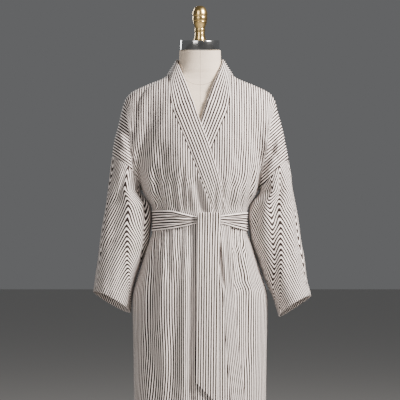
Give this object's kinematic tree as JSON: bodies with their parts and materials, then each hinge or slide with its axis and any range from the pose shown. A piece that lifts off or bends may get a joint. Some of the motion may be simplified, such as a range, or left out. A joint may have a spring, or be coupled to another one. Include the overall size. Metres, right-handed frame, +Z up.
{
  "type": "kimono bathrobe on dress form",
  "caption": "Striped wrap-front kimono robe with a neck band, wide sleeves and a tied belt, worn by a limbless dress form on a pole stand.",
  "frame": {"origin": "centre of the stand base's underside, on the floor", "axes": "+Z up; the robe's front faces -Y; the wearer's left is +X"},
  "size_m": [0.5825, 0.41, 1.64],
  "materials": {
    "robe_cloth": "crisp striped cotton with a faint satin sheen",
    "belt_cloth": "the robe's striped cotton, doubled",
    "form_linen": "fine plain-weave linen cover",
    "cap_steel": "polished",
    "finial_brass": "polished, slightly aged",
    "stand_steel": "brushed"
  },
  "bodies": {
    "root": {"robe_back": "robe_cloth", "robe_front_right": "robe_cloth", "robe_front_left": "robe_cloth", "sleeve_right": "robe_cloth", "sleeve_left": "robe_cloth", "band_right": "robe_cloth", "band_left": "robe_cloth", "belt_wrap": "belt_cloth", "belt_knot": "belt_cloth", "belt_tail_front": "belt_cloth", "belt_tail_back": "belt_cloth", "form_body": "form_linen", "form_cap": "cap_steel", "form_finial": "finial_brass", "stand_pole": "stand_steel", "stand_base": "stand_steel"}
  },
  "joints": []
}
